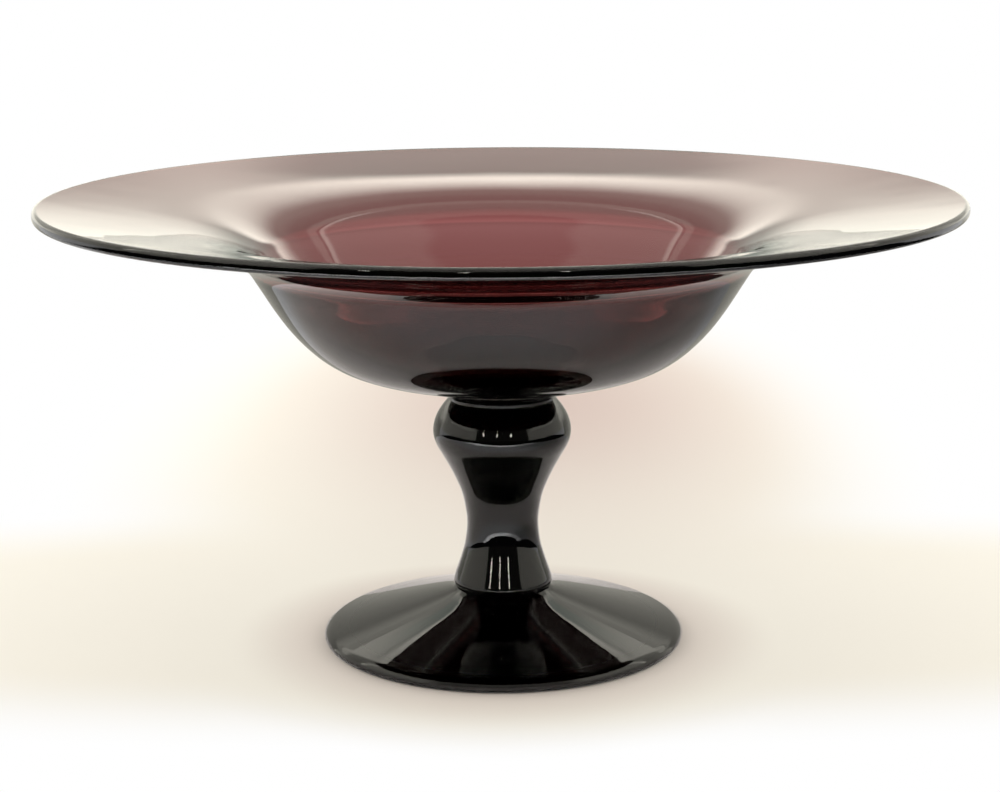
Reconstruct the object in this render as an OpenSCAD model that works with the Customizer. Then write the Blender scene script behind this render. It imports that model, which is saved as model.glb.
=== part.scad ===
// Footed compote bowl in dark amethyst glass: a wide flat-flanged bowl on a baluster stem and a round foot.
// Millimetres. The pieces stack up from the table: foot, stem, merese (the glass wafer under the bowl), bowl.
// Every piece is round about the Z axis, so each is one outline of [radius, height] points that is turned.

/* [Foot] */
// Diameter of the foot at its widest
foot_diameter = 123; // [100:0.2:150]
// Height of the foot, from the table to the stem's seam
foot_height = 17.8; // [14:0.2:24]
// Height at which the rounding of the foot's edge ends
foot_edge_height = 4.5; // [3:0.1:6]
// How far that rounding reaches in over the top
foot_edge_reach = 2.8; // [1.5:0.1:5]
// Radius of the edge's lower corner
foot_corner_radius = 1.8; // [0.8:0.1:2.4]
// Width of the flat ring that the foot rests on
rest_ring_width = 8; // [5:0.5:14]
// Slope of the top where it leaves that rounding, in degrees
foot_slope = 16; // [8:1:20]
// Height of the hollow under the foot
foot_hollow_height = 7; // [3:0.5:9]
// Diameter of the ground and polished dish in the middle of the hollow
pontil_diameter = 19; // [12:0.5:28]
// Depth of that dish
pontil_depth = 0.8; // [0.4:0.1:1.4]

/* [Stem] */
// Height of the stem, from the foot's seam to the merese
stem_height = 65.9; // [56:0.2:80]
// Diameter of the stem's lower end
stem_seam_diameter = 32.4; // [28:0.2:36]
// Diameter of the swelling just above the foot
ankle_diameter = 33.6; // [29:0.2:38]
// Height of that swelling above the stem's lower end
ankle_height = 2.2; // [1.6:0.1:3.4]
// Diameter of the waist
waist_diameter = 24.3; // [18:0.1:28]
// Height of the waist above the stem's lower end
waist_height = 23.4; // [18:0.2:30]
// Diameter of the knop, the swelling under the bowl
knop_diameter = 46.8; // [40:0.2:54]
// Height of the knop's widest point above the stem's lower end
knop_height = 54.6; // [46:0.2:58]
// Diameter of the stem's upper end, under the merese
collar_diameter = 36; // [30:0.2:39]

/* [Merese] */
// Diameter over the thin edge of the merese
merese_diameter = 53; // [46:0.5:62]
// Height of the merese, from the stem to the bowl
merese_height = 6.1; // [4.5:0.1:9]
// Thickness of its edge
merese_edge = 1.7; // [1:0.1:2.4]

/* [Bowl] */
// Diameter over the rim
rim_diameter = 305; // [260:1:350]
// Height of the bowl, from its seat on the merese to the top of the rim
bowl_height = 62.4; // [54:0.2:75]
// Diameter of the underside at the corner between wall and flange, before it is softened
well_diameter = 177.2; // [160:0.2:195]
// Slope of the flange's underside above level, in degrees
flange_slope = 10.5; // [4:0.5:12]
// Slope of the wall just below the flange, in degrees
wall_slope = 58; // [50:1:68]
// How far out over the flange the soft bend starts
bend_reach = 34; // [20:0.5:40]
// How far down the wall that bend ends
bend_drop = 10; // [6:0.5:13]
// Thickness of the wall below the bend
bowl_wall = 4.4; // [3.4:0.1:5.6]
// Thickness of the flange where it starts
flange_thickness = 5; // [3.6:0.1:7]
// Thickness of the floor, from which the wall thins upwards
floor_thickness = 6.5; // [5:0.1:8]
// Thickness of the rim
rim_thickness = 3.6; // [3:0.1:6]
// Radius that rounds the rim above and below
rim_round = 1.5; // [0.8:0.1:2.4]

/* [Hidden] */

foot_glass = [0.13, 0.03, 0.05];
stem_glass = [0.16, 0.04, 0.06];
merese_glass = [0.22, 0.06, 0.09];
bowl_glass = [0.42, 0.16, 0.19];

// Straight steps in each stretch of a curve, in each rounded edge, in the bowl's bend, and around the axis
curve_steps = 4;
corner_steps = 7;
bend_steps = 18;
turn_steps = 120;

// Heights at which the pieces meet
stem_seat = foot_height;
merese_seat = stem_seat + stem_height;
bowl_seat = merese_seat + merese_height;
rim_top = bowl_seat + bowl_height;

// Radius of the flat seat between the merese and the bowl
seat_radius = merese_diameter / 2 - merese_edge / 2;

// Foot, from the edge to the stem: the share of the way in, then the share of the way up
foot_top_shares = [
    [0.2, 0.183], [0.4, 0.366], [0.6, 0.55], [0.76, 0.698],
    [0.86, 0.795], [0.93, 0.872], [0.975, 0.938]
];

// Stem, from one named place to the next: the share of the way up, then the share of the change in radius
ankle_to_waist_shares = [[0.115, 0.12], [0.24, 0.32], [0.425, 0.6], [0.61, 0.83], [0.8, 0.955]];
waist_to_knop_shares = [
    [0.15, 0.05], [0.3, 0.14], [0.45, 0.3], [0.6, 0.5],
    [0.75, 0.73], [0.86, 0.9], [0.935, 0.975]
];
knop_to_collar_shares = [[0.2, 0.04], [0.46, 0.21], [0.7, 0.5], [0.87, 0.77]];

// Bowl's underside, from the seat to the bend: the share of the way out, then the share of the way up
well_shares = [
    [0.148, 0.032], [0.285, 0.066], [0.424, 0.121], [0.53, 0.186], [0.615, 0.266],
    [0.698, 0.372], [0.768, 0.483], [0.877, 0.705], [0.941, 0.858]
];

// Direction of a slope, and the direction to its left
function heading(angle) = [cos(angle), sin(angle)];
function left_of(angle) = [-sin(angle), cos(angle)];

// Points between two places, each a share of the way along both axes
function between(from, to, shares) = [
    for (s = shares) [for (axis = [0, 1]) from[axis] + s[axis] * (to[axis] - from[axis])]
];

// The same for a list that gives the share of the way up first
function swapped(shares) = [for (s = shares) [s[1], s[0]]];

// Part of an ellipse about a centre
function arc(centre, radii, from, to) = [
    for (i = [0:corner_steps])
        let (t = from + (to - from) * i / corner_steps)
        centre + [radii[0] * cos(t), radii[1] * sin(t)]
];

function unit(v) = v / norm(v);

// Direction of a smooth curve at one of its points: its neighbours count more the nearer they are
function slope_at(points, i) =
    let (last = len(points) - 1)
    i == 0 ? unit(points[1] - points[0]) :
    i == last ? unit(points[last] - points[last - 1]) :
    let (back = points[i] - points[i - 1], ahead = points[i + 1] - points[i])
    (back / norm(back) * norm(ahead) + ahead / norm(ahead) * norm(back)) / (norm(back) + norm(ahead));

// One point of a stretch that leaves p along v and reaches q along w
function stretch(p, v, q, w, t) =
    let (reach = norm(q - p))
    (1 + 2 * t) * pow(1 - t, 2) * p + t * pow(1 - t, 2) * reach * v
    + t * t * (3 - 2 * t) * q - t * t * (1 - t) * reach * w;

// Smooth curve through the points, with the directions of its ends if they are given
function smooth_curve(points, first = undef, final = undef) =
    let (
        last = len(points) - 1,
        slopes = [for (i = [0:last])
            i == 0 && first != undef ? first : i == last && final != undef ? final : slope_at(points, i)]
    )
    [
        for (i = [0:last - 1], k = [0:curve_steps - 1])
            stretch(points[i], slopes[i], points[i + 1], slopes[i + 1], k / curve_steps),
        points[last]
    ];

// The same line moved to its left, by a distance for each point
function moved_left(points, distances) = [
    for (i = [0:len(points) - 1])
        let (along = unit(points[min(i + 1, len(points) - 1)] - points[max(i - 1, 0)]))
        points[i] + distances[i] * [-along[1], along[0]]
];

// Where two sloping lines meet
function crossing(p, slope_p, q, slope_q) =
    p + heading(slope_p) * cross(q - p, heading(slope_q)) / cross(heading(slope_p), heading(slope_q));

// A bend that leaves one line before its corner with another and joins that one beyond it
function soft_bend(corner, before, beyond) =
    let (start = corner - bend_drop * before, end = corner + bend_reach * beyond)
    [
        for (i = [0:bend_steps])
            let (t = i / bend_steps)
            pow(1 - t, 2) * start + 2 * t * (1 - t) * corner + t * t * end
    ];

function reversed(points) = [for (i = [len(points) - 1:-1:0]) points[i]];
function without_first(points) = [for (i = [1:len(points) - 1]) points[i]];
function without_last(points) = [for (i = [0:len(points) - 2]) points[i]];

module turned(outline) {
    rotate_extrude($fn = turn_steps) polygon(outline);
}

// A low cone with a rounded edge, hollow underneath, so that it stands on a flat ring
module foot() {
    radius = foot_diameter / 2;
    corner = [radius - foot_corner_radius, foot_corner_radius];
    edge_foot = [radius, foot_corner_radius];
    edge_top = [radius - foot_edge_reach, foot_edge_height];
    edge = [
        for (i = [0:corner_steps])
            stretch(edge_foot, heading(90), edge_top, heading(180 - foot_slope), i / corner_steps)
    ];
    seam = [stem_seam_diameter / 2, foot_height];
    ring_inside = radius - foot_corner_radius - rest_ring_width;
    hollow_radius = (pow(ring_inside, 2) + pow(foot_hollow_height, 2)) / (2 * foot_hollow_height);
    pontil = pontil_diameter / 2;
    hollow = [
        for (i = [0:corner_steps])
            let (r = ring_inside + (pontil - ring_inside) * i / corner_steps)
            [r, foot_hollow_height - hollow_radius + sqrt(pow(hollow_radius, 2) - pow(r, 2))]
    ];
    pontil_rim = hollow[corner_steps][1];
    dish = [
        for (i = [1:corner_steps])
            let (s = i / corner_steps)
            [pontil * (1 - s), pontil_rim + pontil_depth * s * (2 - s)]
    ];
    color(foot_glass) turned(concat(
        arc(corner, [foot_corner_radius, foot_corner_radius], -90, 0),
        without_first(without_last(edge)),
        smooth_curve(concat([edge_top], between(edge_top, seam, foot_top_shares), [seam]),
            first = heading(180 - foot_slope)),
        [[0, foot_height]],
        reversed(concat(hollow, dish))
    ));
}

// A solid baluster: a swollen ankle, a slim waist and a broad knop under the bowl
module stem() {
    seam = [stem_seam_diameter / 2, 0];
    ankle = [ankle_diameter / 2, ankle_height];
    waist = [waist_diameter / 2, waist_height];
    knop = [knop_diameter / 2, knop_height];
    collar = [collar_diameter / 2, stem_height];
    color(stem_glass) translate([0, 0, stem_seat]) turned(concat(
        [[0, 0]],
        smooth_curve(concat(
            [seam, ankle],
            between(ankle, waist, swapped(ankle_to_waist_shares)),
            [waist],
            between(waist, knop, swapped(waist_to_knop_shares)),
            [knop],
            between(knop, collar, swapped(knop_to_collar_shares)),
            [collar]
        )),
        [[0, stem_height]]
    ));
}

// A wafer that flares from the stem's top out to a thin round edge
module merese() {
    flare_height = merese_height - merese_edge;
    edge_round = merese_edge / 2;
    color(merese_glass) translate([0, 0, merese_seat]) turned(concat(
        [[0, 0]],
        arc([seat_radius, 0], [collar_diameter / 2 - seat_radius, flare_height], 0, 90),
        without_first(arc([seat_radius, merese_height - edge_round], [edge_round, edge_round], -90, 90)),
        [[0, merese_height]]
    ));
}

// A deep round well with a broad, slightly rising flange and a rounded rim
module bowl() {
    round_radius = min(rim_round, rim_thickness / 2);
    round_radii = [round_radius, round_radius];
    rim_radius = rim_diameter / 2;
    upper_corner = [rim_radius - round_radius, rim_top - round_radius];
    lower_corner = [rim_radius - round_radius, rim_top - rim_thickness + round_radius];
    flange_end = lower_corner - round_radius * left_of(flange_slope);
    flange_run = flange_end[0] - well_diameter / 2;
    neck_corner = flange_end - flange_run / cos(flange_slope) * heading(flange_slope);
    neck = soft_bend(neck_corner, heading(wall_slope), heading(flange_slope));
    seat_edge = [seat_radius, bowl_seat];
    well = smooth_curve(concat([seat_edge], between(seat_edge, neck[0], well_shares), [neck[0]]),
        final = heading(wall_slope));
    upper_rim = arc(upper_corner, round_radii, 0, 90 + flange_slope);
    inner_corner = crossing(
        neck_corner + bowl_wall * left_of(wall_slope), wall_slope,
        neck_corner + flange_thickness * left_of(flange_slope), flange_slope);
    bend = soft_bend(inner_corner, heading(wall_slope), unit(upper_rim[corner_steps] - inner_corner));
    bend_start = bend[0];
    rise = bend_start[1] - bowl_seat;
    inner_well = moved_left(well,
        [for (p = well) floor_thickness + (bowl_wall - floor_thickness) * min((p[1] - bowl_seat) / rise, 1)]);
    inner_wall = [
        for (i = [curve_steps:curve_steps:len(well) - 1])
            if (inner_well[i][1] < bend_start[1] - bowl_wall) inner_well[i]
    ];
    floor_middle = [0, bowl_seat + floor_thickness];
    inside = smooth_curve(concat([floor_middle], inner_wall, [bend_start]), heading(0), heading(wall_slope));
    color(bowl_glass) turned(concat(
        [[0, bowl_seat]],
        without_last(well),
        neck,
        arc(lower_corner, round_radii, flange_slope - 90, 0),
        upper_rim,
        reversed(without_first(bend)),
        reversed(inside)
    ));
}

foot();
stem();
merese();
bowl();
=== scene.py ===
from math import cos, pi, radians, sin

import bmesh
import bpy
from mathutils import Matrix, Vector


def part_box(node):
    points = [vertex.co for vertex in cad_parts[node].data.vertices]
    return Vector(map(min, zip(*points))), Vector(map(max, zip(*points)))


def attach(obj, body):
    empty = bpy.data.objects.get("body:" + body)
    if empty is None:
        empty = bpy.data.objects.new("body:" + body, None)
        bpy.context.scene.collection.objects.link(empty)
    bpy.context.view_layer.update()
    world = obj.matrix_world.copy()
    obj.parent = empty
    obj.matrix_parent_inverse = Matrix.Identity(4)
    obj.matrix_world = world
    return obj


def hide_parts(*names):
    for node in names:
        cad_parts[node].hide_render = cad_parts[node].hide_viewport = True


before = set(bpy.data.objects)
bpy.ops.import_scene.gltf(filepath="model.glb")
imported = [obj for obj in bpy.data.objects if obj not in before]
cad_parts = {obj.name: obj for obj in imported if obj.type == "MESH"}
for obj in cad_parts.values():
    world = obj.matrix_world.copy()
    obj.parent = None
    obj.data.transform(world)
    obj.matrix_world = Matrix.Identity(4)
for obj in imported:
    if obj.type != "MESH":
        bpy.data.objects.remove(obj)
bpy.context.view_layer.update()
scene = bpy.context.scene
scene.view_settings.view_transform = "Standard"
print("frame loaded:", sorted(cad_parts))


# Shader maths: a Wire is one output socket, and sums and products of wires add their own nodes
class Wire:
    def __init__(self, socket):
        self.socket = socket
        self.tree = socket.id_data

    def maths(self, operation, *values):
        return addNode(self.tree, "ShaderNodeMath", {"operation": operation}, dict(enumerate(values)))

    def __add__(self, other):
        return self.maths("ADD", self, other)

    def __radd__(self, other):
        return self.maths("ADD", other, self)

    def __sub__(self, other):
        return self.maths("SUBTRACT", self, other)

    def __rsub__(self, other):
        return self.maths("SUBTRACT", other, self)

    def __mul__(self, other):
        return self.maths("MULTIPLY", self, other)

    def __rmul__(self, other):
        return self.maths("MULTIPLY", other, self)

    def __abs__(self):
        return self.maths("ABSOLUTE", self)

    def larger(self, other):
        return self.maths("MAXIMUM", self, other)

    def smaller(self, other):
        return self.maths("MINIMUM", self, other)

    # 0 below the first value, 1 above the second, smooth between them
    def ramp(self, low, high):
        limits = {"Value": self, "From Min": low, "From Max": high, "To Min": 0.0, "To Max": 1.0}
        return addNode(self.tree, "ShaderNodeMapRange", {"interpolation_type": "SMOOTHSTEP"}, limits)


# Any other node: its type, its settings, the values or wires of its sockets, and which output it gives
def addNode(tree, kind, settings, inputs, output=0):
    made = tree.nodes.new(kind)
    for key, value in settings.items():
        setattr(made, key, value)
    for key, value in inputs.items():
        if isinstance(value, Wire):
            tree.links.new(value.socket, made.inputs[key])
        else:
            made.inputs[key].default_value = value
    return None if output is None else Wire(made.outputs[output])


def emptyTree(owner):
    owner.use_nodes = True
    owner.node_tree.nodes.clear()
    return owner.node_tree


def blend(start, end, share):
    return start + (end - start) * share


def blendColour(start, end, share):
    colours = {0: share, 6: start, 7: end}
    return addNode(share.tree, "ShaderNodeMix", {"data_type": "RGBA"}, colours, 2)


def splitAxes(place, axes):
    return [addNode(place.tree, "ShaderNodeSeparateXYZ", {}, {0: place}, axis) for axis in axes]


# The glass is clear, and its depth colours it: it absorbs density * (1 - depthColour) per metre
amethyst = {
    "ior": 1.52,
    "roughness": 0.012,
    "depthColour": (0.46, 0.03, 0.03, 1),
    "density": 550.0,        # of the bowl and the merese, per metre
    "denseDensity": 3200.0,  # of the foot and the stem, which look black
    "waveSize": 0.03,        # metres between the slow waves of hand-worked glass
    "waveHeight": 0.00012,   # metres
    "waveDetail": 1.0,
    "waveRoughness": 0.4,
}


def glassMaterial(name, density):
    look = amethyst
    material = bpy.data.materials.new(name)
    tree = emptyTree(material)
    place = addNode(tree, "ShaderNodeTexCoord", {}, {}, "Object")
    waves = addNode(tree, "ShaderNodeTexNoise", {"noise_dimensions": "3D"}, {
        "Vector": place, "Scale": 1 / look["waveSize"],
        "Detail": look["waveDetail"], "Roughness": look["waveRoughness"]})
    bump = addNode(tree, "ShaderNodeBump", {},
                   {"Strength": 1.0, "Distance": look["waveHeight"], "Height": waves})
    body = addNode(tree, "ShaderNodeBsdfPrincipled", {}, {
        "Base Color": (1, 1, 1, 1), "Roughness": look["roughness"], "IOR": look["ior"],
        "Transmission Weight": 1.0, "Normal": bump})
    depth = addNode(tree, "ShaderNodeVolumeAbsorption", {},
                    {"Color": look["depthColour"], "Density": density})
    addNode(tree, "ShaderNodeOutputMaterial", {}, {"Surface": body, "Volume": depth}, None)
    return material


# Each piece is the outline of its solid, drawn as a smooth curve and turned about the axis
turning = {
    "steps": 160,
    "curvePoints": 3,       # straight steps in each span of the curve
    "cornerAngle": 14.5,    # degrees, a turn sharper than this stays a corner
    "straightTurn": 0.001,  # radians, a turn smaller than this is no point of the outline
    "longSpan": 2.1,        # a span this many times its neighbour gets a point near that end
    "seamGap": 0.00004,     # metres between the skins of two pieces that are joined
    "merge": 1e-6,          # metres, points closer than this are one
    "cut": 1e-7,            # metres, how exactly a plane cuts
}


# Keeps what lies on one side of a plane through the axis, or only the cut itself
def cutShape(shape, normal, bothSides):
    everything = shape.verts[:] + shape.edges[:] + shape.faces[:]
    bmesh.ops.bisect_plane(shape, geom=everything, dist=turning["cut"], plane_co=(0, 0, 0),
                           plane_no=normal, clear_inner=True, clear_outer=bothSides)


def outlineOf(node):
    shape = bmesh.new()
    shape.from_mesh(node.data)
    bmesh.ops.remove_doubles(shape, verts=shape.verts, dist=turning["merge"])
    cutShape(shape, (0, 1, 0), True)
    cutShape(shape, (1, 0, 0), False)
    bmesh.ops.remove_doubles(shape, verts=shape.verts, dist=turning["merge"])
    ends = [v for v in shape.verts if len(v.link_edges) == 1]
    print("outline", node.name, "points", len(shape.verts), "ends", len(ends))
    here = min(ends, key=lambda v: v.co.z)
    line, edge = [here.co.copy()], None
    while True:
        ahead = [e for e in here.link_edges if e != edge]
        if not ahead:
            break
        edge = ahead[0]
        here = edge.other_vert(here)
        line.append(here.co.copy())
    shape.free()
    kept = [line[0]]
    for i in range(1, len(line) - 1):
        if (line[i] - kept[-1]).angle(line[i + 1] - line[i]) > turning["straightTurn"]:
            kept.append(line[i])
    return kept + [line[-1]]


# A long straight gets a point near each end, so that the curve beside it doesn't bend it
def easedLine(line):
    eased = [line[0]]
    for i in range(1, len(line)):
        span = line[i] - line[i - 1]
        before = (line[i - 1] - line[i - 2]).length if i > 1 else span.length
        after = (line[i + 1] - line[i]).length if i + 1 < len(line) else span.length
        if before < span.length / turning["longSpan"]:
            eased.append(line[i - 1] + span.normalized() * before)
        if after < span.length / turning["longSpan"]:
            eased.append(line[i] - span.normalized() * after)
        eased.append(line[i])
    return eased


def smoothLine(name, line):
    curve = bpy.data.curves.new(name, "CURVE")
    curve.dimensions = "3D"
    curve.resolution_u = turning["curvePoints"]
    spline = curve.splines.new("BEZIER")
    spline.bezier_points.add(len(line) - 1)
    for i, point in enumerate(spline.bezier_points):
        point.co = line[i]
        back = line[i] - line[max(i - 1, 0)]
        ahead = line[min(i + 1, len(line) - 1)] - line[i]
        corner = back.length * ahead.length == 0 or back.angle(ahead) > radians(turning["cornerAngle"])
        point.handle_left_type = point.handle_right_type = "VECTOR" if corner else "AUTO"
    drawn = bpy.data.objects.new(name, curve)
    scene.collection.objects.link(drawn)
    bpy.context.view_layer.update()
    mesh = bpy.data.meshes.new_from_object(drawn.evaluated_get(bpy.context.evaluated_depsgraph_get()))
    bpy.data.objects.remove(drawn)
    return mesh


def turnedPiece(name, nodeName, material, liftSeat):
    mesh = smoothLine(name, easedLine(outlineOf(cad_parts[nodeName])))
    shape = bmesh.new()
    shape.from_mesh(mesh)
    bmesh.ops.spin(shape, geom=shape.verts[:] + shape.edges[:], cent=(0, 0, 0), axis=(0, 0, 1),
                   angle=2 * pi, steps=turning["steps"], use_merge=True)
    bmesh.ops.remove_doubles(shape, verts=shape.verts, dist=turning["merge"])
    if liftSeat:
        seat = min(v.co.z for v in shape.verts) + turning["merge"]
        bmesh.ops.translate(shape, vec=(0, 0, turning["seamGap"]),
                            verts=[v for v in shape.verts if v.co.z < seat])
    low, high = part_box(nodeName)
    for v in shape.verts:   # the curve may swell a hair past the solid: it is held to the solid's box
        reach = Vector((v.co.x, v.co.y)).length
        if reach > high.x:
            v.co.x, v.co.y = v.co.x * high.x / reach, v.co.y * high.x / reach
        v.co.z = min(max(v.co.z, low.z), high.z)
    bmesh.ops.recalc_face_normals(shape, faces=shape.faces)
    loose = [e for e in shape.edges if len(e.link_faces) != 2]
    print(name, "faces", len(shape.faces), "open edges", len(loose))
    shape.to_mesh(mesh)
    shape.free()
    mesh.shade_smooth()
    mesh.set_sharp_from_angle(angle=radians(turning["cornerAngle"]))
    piece = bpy.data.objects.new(name, mesh)
    scene.collection.objects.link(piece)
    mesh.materials.clear()
    mesh.materials.append(material)
    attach(piece, "root")
    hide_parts(nodeName)


dense, light = amethyst["denseDensity"], amethyst["density"]
for nodeName, density in (("foot", dense), ("stem", dense), ("merese", light), ("bowl", light)):
    glass = glassMaterial(nodeName + "Glass", density)
    turnedPiece(nodeName + "_glass_body", nodeName, glass, liftSeat=nodeName != "foot")
print("glass pieces turned")


# The staging tells rays apart: what the camera sees, what the glass mirrors and what is seen through it.
# A ray that the glass lets through counts as glossy too.
rayNames = ("Is Camera Ray", "Is Glossy Ray", "Is Transmission Ray")
reflected = {
    "once": (0.2, 0.8),     # ramps between whole numbers of reflections
    "twice": (1.2, 1.8),
}


def rayPath(tree, name):
    return addNode(tree, "ShaderNodeLightPath", {}, {}, name)


def timesReflected(tree, times):
    return rayPath(tree, "Glossy Depth").ramp(*reflected[times])


# A square of side 2 about the origin, brought to its place
def flatSheet(name, place, material):
    shape = bmesh.new()
    bmesh.ops.create_grid(shape, x_segments=1, y_segments=1, size=1.0)
    bmesh.ops.transform(shape, matrix=place, verts=shape.verts)
    mesh = bpy.data.meshes.new(name)
    shape.to_mesh(mesh)
    shape.free()
    mesh.materials.append(material)
    sheet = bpy.data.objects.new(name, mesh)
    scene.collection.objects.link(sheet)
    return sheet


# The floor is cream paper near the object, and white further off where a ray sees it directly
floorLook = {
    "halfSize": 14.0,
    "colour": (0.95, 0.9, 0.785, 1),
    "pools": [                              # centre, and how far the cream reaches each way, in metres
        ((0.0, 0.3, 0.0), (0.2, 0.42, 1.0)),
        ((0.0, 0.03, 0.0), (0.46, 0.14, 1.0)),
    ],
    "white": (0.55, 1.0),                   # shares of that reach between which it turns white
    "footShade": (0.072, 0.118),            # metres from the axis, the cream that follows the foot
    "paintedShadeColour": (0.62, 0.5, 0.44, 1),    # painted shadow of the bowl, rosy where light would come through the glass
    "paintedShadePlace": (0.02, 0.38, 0.0),
    "paintedShadeReach": (0.2, 0.38, 1.0),
    "footPaintedShade": 0.45,                       # how much of the painted shade there is close to the foot
    "footPaintedShadeReach": (0.064, 0.096),
    "mirrorColour": (0.9, 0.84, 0.79, 1),   # in reflections the paper is less warm
    "frontEnd": (0.295, 0.305),             # where the table ends in front, in reflections
    "rightEnd": (0.28, 0.33),
    "leftEnd": (0.4, 0.46),
    "sideEnds": (0.2, 0.3),                 # behind this there are no ends at the sides
    "rightPaintedShade": (0.02, 0.2),              # painted shade over the right half, in reflections
    "rightPaintedShadeDepth": 0.55,
    "darkLevel": 0.02,                      # of what lies past the ends
    "brightEdge": (0.17, 0.24),             # painted sunlit strip along the front end
    "brightLevel": 4.6,
    "deepThrough": 0.7,                     # painted shade: how far the floor behind the glass is darkened after a reflection
}


# Distance from a centre, where 1 is the reach each way
def awayFrom(spot, centre, reach):
    place = addNode(spot.tree, "ShaderNodeVectorMath", {"operation": "SUBTRACT"}, {0: spot, 1: centre})
    place = addNode(spot.tree, "ShaderNodeVectorMath", {"operation": "DIVIDE"}, {0: place, 1: reach})
    return addNode(spot.tree, "ShaderNodeVectorMath", {"operation": "LENGTH"}, {0: place}, "Value")


def makeFloor():
    look = floorLook
    material = bpy.data.materials.new("paperFloor")
    tree = emptyTree(material)
    spot = addNode(tree, "ShaderNodeTexCoord", {}, {}, "Object")
    x, y = splitAxes(spot, "XY")
    camera, glossy, through = [rayPath(tree, name) for name in rayNames]
    once, twice = [timesReflected(tree, times) for times in ("once", "twice")]
    mirrored = glossy * (1 - through)

    # the paper, lit by the studio, with a rosy painted shadow of the bowl behind the object and painted
    # shade close to the foot
    fromFoot = addNode(tree, "ShaderNodeVectorMath", {"operation": "LENGTH"}, {0: spot}, "Value")
    paintedShade = 1 - awayFrom(spot, look["paintedShadePlace"], look["paintedShadeReach"]).ramp(0, 1)
    # painted shade close to the foot
    nearFootShade = (1 - fromFoot.ramp(*look["footPaintedShadeReach"])) * look["footPaintedShade"]
    colour = blendColour(look["colour"], look["paintedShadeColour"], paintedShade.larger(nearFootShade))
    colour = blendColour(colour, look["mirrorColour"], mirrored)
    paper = addNode(tree, "ShaderNodeBsdfDiffuse", {}, {"Color": colour})

    # plain white further off
    fade = (camera + glossy + through).smaller(1.0) * fromFoot.ramp(*look["footShade"])
    for centre, reach in look["pools"]:
        fade = fade * awayFrom(spot, centre, reach).ramp(*look["white"])
    white = addNode(tree, "ShaderNodeEmission", {}, {"Color": (1, 1, 1, 1), "Strength": 1.0})
    mixed = addNode(tree, "ShaderNodeMixShader", {}, {0: fade, 1: paper, 2: white})

    # what only reflections show: the dark past the table's ends, a painted sunlit strip before them,
    # painted shade over the right half, and painted shade in deeper reflections
    front = (0 - y).ramp(*look["frontEnd"])
    sides = x.ramp(*look["rightEnd"]).larger((0 - x).ramp(*look["leftEnd"]))
    # painted shade over the right half of the floor
    sides = sides.larger(x.ramp(*look["rightPaintedShade"]) * look["rightPaintedShadeDepth"])
    sides = sides * (1 - y.ramp(*look["sideEnds"]))
    # a painted sunlit strip along the front end
    strip = (0 - y).ramp(*look["brightEdge"]) * (1 - front) * (1 - sides)
    level = strip * mirrored * (1 - twice) * look["brightLevel"] + look["darkLevel"]
    dark = addNode(tree, "ShaderNodeEmission", {}, {"Color": (1, 1, 1, 1), "Strength": level})
    cover = strip.larger(front.larger(sides)) * mirrored
    # painted shade: the floor turns dark in second reflections, and partly so through the glass after one
    # reflection
    cover = cover.larger(twice * mirrored + once * through * look["deepThrough"])
    mixed = addNode(tree, "ShaderNodeMixShader", {}, {0: cover, 1: mixed, 2: dark})
    addNode(tree, "ShaderNodeOutputMaterial", {}, {"Surface": mixed}, None)
    flatSheet("floor", Matrix.Scale(look["halfSize"], 4), material)


makeFloor()
print("floor laid")

# The world, told by directions in degrees: turn 0 is the camera's side, 180 the back, and rise is upwards
studioLook = {
    "panel": 0.62,                 # high panel above and in front of the object
    "panelEdge": 1.2,              # its part overhead is brighter
    "edgeRamp": (-0.76, -0.68),
    "lineLevel": 1.8,              # a thin bright line along its edge
    "lineRamp": (-0.07, -0.02),
    "edgeTurn": 58.0,              # rise at the back at which the panel ends
    "edgeSoft": 0.012,
    "overhead": 0.75,              # just behind its edge
    "back": 0.95,                  # high up behind
    "backTurns": (108.0, 150.0),
    "wallTop": 22.0,               # walls at the sides and behind, up to this rise
    "wallFoot": 1.5,               # their level low down
    "wallHead": 1.2,               # and near their top
    "wallRises": (4.0, 14.0),
    "side": 0.85,                  # the level of the side walls
    "sideTurns": (112.0, 140.0),
    "room": 0.05,                  # dark room behind the camera
    "roomTurn": 44.0,
    "roomTop": 33.0,
    "lamps": (-32.0, -8.3, 15.0),  # turns of three tall lamps in the dark room
    "lampHeights": (14.0, 23.0),
    "lampWidth": 1.3,
    "lampCore": 0.6,               # share of that width with its full level
    "lampLevel": 16.0,
    "tint": (1.03, 1.0, 0.88, 1),  # what the glass mirrors is a little warm
    "through": 0.97,               # what is seen through the glass low down
    "throughGlow": 1.45,           # a little above the horizon
    "glowRamp": (0.5, 6.0),
    "throughTop": (18.0, 32.0),
    "throughDark": 0.05,           # and high up
    "bounceLoss": 0.95,            # how much of that is lost after a reflection
    "dome": 0.41,                  # what lights the floor: an even dome
    "ring": 1.2,                   # and a bright ring round the horizon
    "ringFoot": (-2.0, 8.0),
    "ringTop": (38.0, 58.0),
    "ringBack": 0.5,               # how much more of it comes from behind
    "ringTurns": (60.0, 140.0),
    "softTurn": 1.0,               # half the width of an edge
}


def softEdge(angle, place):
    return angle.ramp(place - studioLook["softTurn"], place + studioLook["softTurn"])


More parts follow.
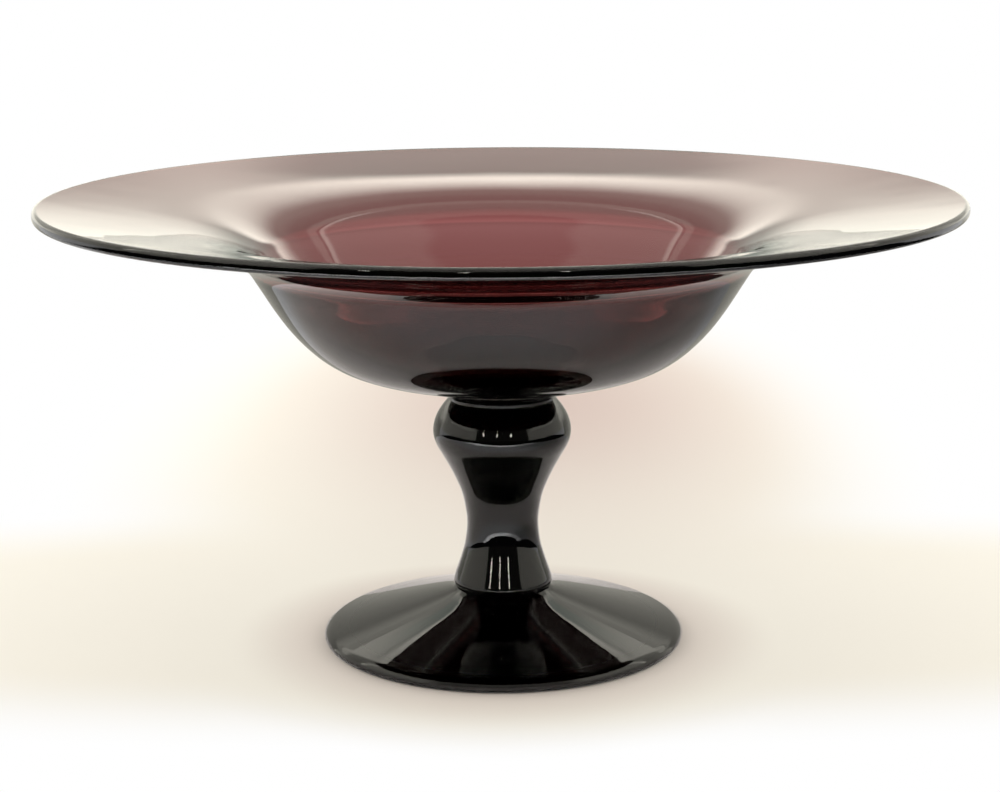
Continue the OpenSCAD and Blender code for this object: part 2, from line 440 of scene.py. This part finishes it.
def mirroredLevel(turn, rise, y, z):
    look = studioLook
    away = abs(turn)
    beyond = y * sin(radians(look["edgeTurn"])) - z * cos(radians(look["edgeTurn"]))
    panel = blend(look["panel"], look["panelEdge"], beyond.ramp(*look["edgeRamp"]))
    panel = panel + look["lineLevel"] * beyond.ramp(*look["lineRamp"])
    behind = blend(look["overhead"], look["back"], away.ramp(*look["backTurns"]))
    upper = blend(panel, behind, beyond.ramp(-look["edgeSoft"], look["edgeSoft"]))
    back = blend(look["wallFoot"], look["wallHead"], rise.ramp(*look["wallRises"]))
    wall = blend(look["side"], back, away.ramp(*look["sideTurns"]))
    level = blend(wall, upper, softEdge(rise, look["wallTop"]))
    room = (1 - softEdge(away, look["roomTurn"])) * (1 - softEdge(rise, look["roomTop"]))
    level = blend(level, look["room"], room)
    low, high = look["lampHeights"]
    tall = softEdge(rise, low) * (1 - softEdge(rise, high))
    for lamp in look["lamps"]:
        near = abs(turn - lamp).ramp(look["lampWidth"] * look["lampCore"], look["lampWidth"])
        level = level + (1 - near) * tall * look["lampLevel"]
    return level


def makeStudio():
    look = studioLook
    world = bpy.data.worlds.new("studio")
    scene.world = world
    tree = emptyTree(world)
    aim = addNode(tree, "ShaderNodeTexCoord", {}, {}, "Generated")
    x, y, z = splitAxes(aim, "XYZ")
    turn = x.maths("ARCTAN2", x, 0 - y) * (180 / pi)
    rise = z.maths("ARCSINE", z) * (180 / pi)
    camera, glossy, through = [rayPath(tree, name) for name in rayNames]
    mirrored = glossy * (1 - through)

    seen = blend(look["through"], look["throughGlow"], rise.ramp(*look["glowRamp"]))
    seen = blend(seen, look["throughDark"], rise.ramp(*look["throughTop"]))
    seen = seen * (1 - timesReflected(tree, "once") * look["bounceLoss"])
    ring = rise.ramp(*look["ringFoot"]) * (1 - rise.ramp(*look["ringTop"]))
    ring = ring * (1 + look["ringBack"] * abs(turn).ramp(*look["ringTurns"]))
    plain = ring * look["ring"] + look["dome"]
    level = blend(plain, mirroredLevel(turn, rise, y, z), mirrored)
    level = blend(blend(level, seen, through), 1.0, camera)
    tint = blendColour((1, 1, 1, 1), look["tint"], mirrored)
    shine = addNode(tree, "ShaderNodeBackground", {}, {"Color": tint, "Strength": level})
    addNode(tree, "ShaderNodeOutputWorld", {}, {"Surface": shine}, None)


makeStudio()
print("studio lit")

# Three cards behind the object, metres. A size is half the width, the lower edge and the upper edge.
# The grey and the glow card show in reflections, and the dark one through the glass.
cardTint = {
    "low": (0.87, 1.0, 0.88, 1),   # of the middle part under the glow card's strip
    "lowSides": (0.05, 0.12),
    "lowFoot": (0.15, 0.162),
    "lowHead": (0.183, 0.192),
    "deepThrough": 0.9,            # how far a reflection darkens the cards behind the glass
}
greyCard = {
    "behind": 0.19,
    "size": (0.3, 0.0, 0.125),
    "level": 0.5,
    "top": 1.0,                    # its level at the upper edge
    "fade": (0.09, 0.125),
}
glowCard = {
    "behind": 0.19,
    "size": (0.34, 0.14, 0.34),
    "rest": 0.88,                  # its level away from the bright strip
    "sides": 0.72,                 # how much more there is at the sides, low down
    "sideReach": (0.072, 0.12),
    "sideTop": (0.174, 0.196),
    "strip": 3.4,
    "stripSides": (0.0, 0.17),
    "stripFoot": (0.1825, 0.196),
    "stripHead": (0.192, 0.232),
    "gap": 0.75,                   # its level in the darker part over the strip
    "gapFoot": (0.236, 0.262),
    "gapHead": (0.29, 0.31),
    "head": 1.35,                  # and above that
}
darkCard = {
    "behind": 0.16,
    "size": (0.13, 0.153, 0.3),
    "level": 0.01,
    "rest": 0.35,                  # its level at the sides
    "reach": (0.042, 0.05),
}


def greyLevel(x, z):
    return blend(greyCard["level"], greyCard["top"], z.ramp(*greyCard["fade"]))


def glowLevel(x, z):
    look = glowCard
    strip = (1 - abs(x).ramp(*look["stripSides"])) * z.ramp(*look["stripFoot"])
    strip = strip * (1 - z.ramp(*look["stripHead"])) * look["strip"]
    sides = abs(x).ramp(*look["sideReach"]) * (1 - z.ramp(*look["sideTop"])) * look["sides"]
    rest = blend(look["rest"], look["gap"], z.ramp(*look["gapFoot"]))
    return strip + sides + blend(rest, look["head"], z.ramp(*look["gapHead"]))


def darkLevel(x, z):
    return blend(darkCard["level"], darkCard["rest"], abs(x).ramp(*darkCard["reach"]))


def makeCard(name, look, levelOf, seenThrough):
    material = bpy.data.materials.new(name)
    tree = emptyTree(material)
    x, z = splitAxes(addNode(tree, "ShaderNodeTexCoord", {}, {}, "Object"), "XZ")
    low = z.ramp(*cardTint["lowFoot"]) * (1 - z.ramp(*cardTint["lowHead"]))
    low = low * (1 - abs(x).ramp(*cardTint["lowSides"]))
    tint = blendColour(studioLook["tint"], cardTint["low"], low)
    behindGlass = timesReflected(tree, "once") * rayPath(tree, "Is Transmission Ray")
    level = levelOf(x, z) * (1 - behindGlass * cardTint["deepThrough"])
    shine = addNode(tree, "ShaderNodeEmission", {}, {"Color": tint, "Strength": level})
    addNode(tree, "ShaderNodeOutputMaterial", {}, {"Surface": shine}, None)
    halfWidth, bottom, top = look["size"]
    place = (Matrix.Translation((0, look["behind"], (bottom + top) / 2))
             @ Matrix.Rotation(radians(90), 4, "X")
             @ Matrix.Diagonal((halfWidth, (top - bottom) / 2, 1, 1)))
    card = flatSheet(name, place, material)
    card.visible_camera = False
    card.visible_diffuse = False
    card.visible_glossy = not seenThrough
    card.visible_transmission = seenThrough
    card.visible_shadow = False


makeCard("grey_card", greyCard, greyLevel, False)
makeCard("glow_card", glowCard, glowLevel, False)
makeCard("dark_card", darkCard, darkLevel, True)
print("cards stood up")

cameraLook = {
    "place": (0.001, -0.72812, 0.24473),
    "turn": 0.1274,      # degrees
    "down": 12.4424,
    "roll": 0.3962,
    "lens": 79.4266,     # millimetres
    "sensor": 36.0,
    "nearest": 0.01,     # metres
}


def makeCamera():
    look = cameraLook
    data = bpy.data.cameras.new("camera")
    data.sensor_fit = "HORIZONTAL"
    data.sensor_width = look["sensor"]
    data.lens = look["lens"]
    data.clip_start = look["nearest"]
    camera = bpy.data.objects.new("camera", data)
    scene.collection.objects.link(camera)
    camera.matrix_world = (Matrix.Translation(look["place"])
                           @ Matrix.Rotation(radians(look["turn"]), 4, "Z")
                           @ Matrix.Rotation(radians(90 - look["down"]), 4, "X")
                           @ Matrix.Rotation(radians(-look["roll"]), 4, "Z"))
    scene.camera = camera


makeCamera()
print("camera placed")
